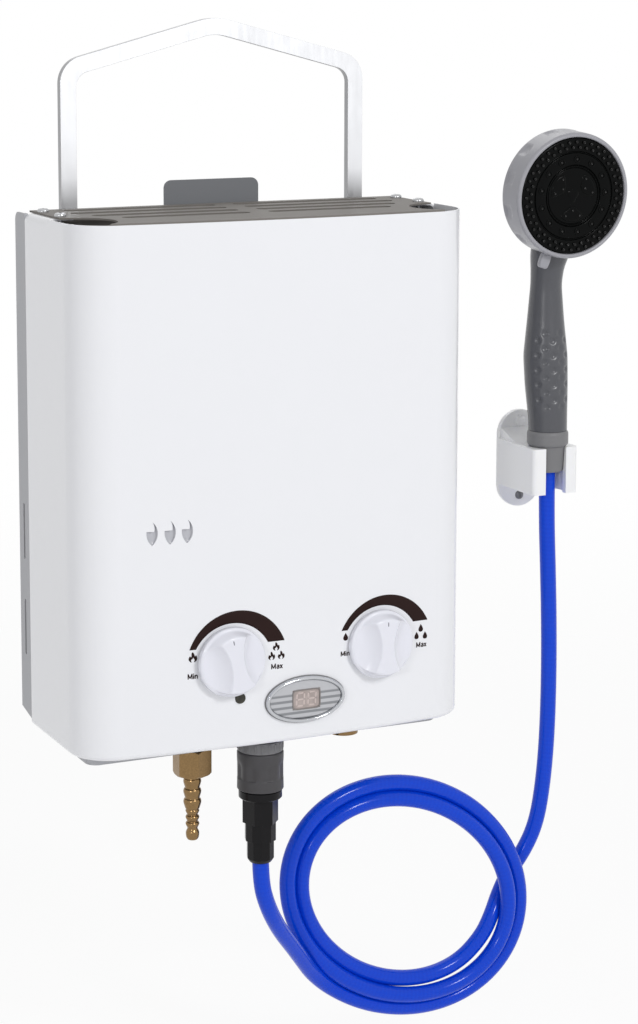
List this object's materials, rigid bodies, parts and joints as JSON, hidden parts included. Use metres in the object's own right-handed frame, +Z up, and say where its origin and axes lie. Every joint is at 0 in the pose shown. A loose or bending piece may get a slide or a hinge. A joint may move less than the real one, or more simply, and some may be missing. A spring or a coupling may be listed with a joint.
{
  "type": "portable gas water heater",
  "caption": "Portable gas water heater: bowed casing on a wall keyhole, sliding carry handle, two knobs, oval display, hose coil, wall holder and hand shower.",
  "frame": {"origin": "centre of the wall keyhole's round entry, on the wall plane", "axes": "+X right as seen from the front, +Y into the wall, +Z up"},
  "size_m": [0.443, 0.1446, 0.7377],
  "materials": {
    "black_plastic": "satin",
    "black_rubber": "matte",
    "blue_hose": "glossy",
    "brass": "polished",
    "bright_chrome": "polished",
    "cast_aluminium": "cast",
    "cell_wrap": "glossy",
    "ceramic_white": "glazed",
    "copper": "dull",
    "dark_grey_plastic": "satin",
    "display_glass": "polished",
    "grey_enamel": "satin powder coat",
    "grille_enamel": "satin",
    "handle_steel": "bright",
    "hanger_enamel": "satin",
    "inner_steel": "dull",
    "light_grey_plastic": "satin",
    "silver_plastic": "satin",
    "small_steel": "bright",
    "white_enamel": "glossy powder coat",
    "white_plastic": "glossy"
  },
  "bodies": {
    "heater": {"back_panel": "grey_enamel", "hanger_plate": "hanger_enamel", "front_cover": "white_enamel", "top_grille": "grille_enamel", "grille_screws": "small_steel", "base_tray": "grey_enamel", "handle_guides": "inner_steel", "gas_valve": "cast_aluminium", "water_valve": "brass", "display_bezel": "bright_chrome", "display_fascia": "silver_plastic", "display_window": "display_glass", "display_module": "black_plastic", "sight_glass": "display_glass", "combustion_chamber": "copper", "burner_frame": "inner_steel", "burner_bars": "inner_steel", "exchanger_pipe": "copper", "exchanger_fins": "copper", "flue_hood": "inner_steel", "gas_manifold": "cast_aluminium", "electrodes": "ceramic_white", "igniter_module": "black_plastic", "water_inlet_nipple": "brass", "cold_water_pipe": "copper", "exchanger_feed_pipe": "copper", "hot_water_pipe": "copper", "outlet_nipple": "brass", "gas_pipe": "copper", "gas_inlet_nut": "brass", "gas_barb": "brass", "outlet_collar": "light_grey_plastic", "connector_ring": "black_plastic", "connector_body": "black_plastic", "hose_nut": "black_plastic", "hose_lead": "blue_hose", "hose_coil": "blue_hose", "hose_riser": "blue_hose", "battery_box": "black_plastic", "battery_cells": "cell_wrap", "battery_hinge_pin": "small_steel", "holder": "white_plastic"},
    "carry_handle": {"carry_handle": "handle_steel", "handle_stop_pins": "small_steel"},
    "gas_knob": {"gas_knob": "white_plastic", "gas_knob_shaft": "small_steel"},
    "water_knob": {"water_knob": "white_plastic", "water_knob_shaft": "small_steel"},
    "connector_sleeve": {"connector_sleeve": "dark_grey_plastic"},
    "battery_lid": {"battery_lid": "light_grey_plastic"},
    "handset": {"handset_shell": "dark_grey_plastic", "spray_face": "black_plastic", "spray_nozzles": "black_rubber", "handset_collar": "light_grey_plastic", "handset_nut": "dark_grey_plastic"},
    "selector_ring": {"selector_ring": "light_grey_plastic"}
  },
  "joints": [
    {"name": "handle_slide", "type": "slide", "parent": "heater", "child": "carry_handle", "axis": [0, 0, 1], "range_m": [-0.08, 0]},
    {"name": "gas_knob_turn", "type": "hinge", "parent": "heater", "child": "gas_knob", "pos_m": [-0.0416, -0.13, -0.2621], "axis": [0, -1, 0], "range_deg": [-85, 70]},
    {"name": "water_knob_turn", "type": "hinge", "parent": "heater", "child": "water_knob", "pos_m": [0.0706, -0.13, -0.2621], "axis": [0, -1, 0], "range_deg": [-75, 75]},
    {"name": "sleeve_slide", "type": "slide", "parent": "heater", "child": "connector_sleeve", "axis": [0, 0, 1], "range_m": [-0.005, 0], "stiffness_N_per_m": 300, "springref_m": 0.004},
    {"name": "battery_lid_turn", "type": "hinge", "parent": "heater", "child": "battery_lid", "pos_m": [0.1264, -0.0476, -0.333], "axis": [0, -1, 0], "range_deg": [0, 90]},
    {"name": "handset_lift", "type": "slide", "parent": "heater", "child": "handset", "axis": [0, 0, 1], "range_m": [0, 0.03]},
    {"name": "selector_turn", "type": "hinge", "parent": "handset", "child": "selector_ring", "pos_m": [0.252, -0.077, 0.036], "axis": [0, -0.9969, -0.0785], "range_deg": [-60, 60]}
  ]
}
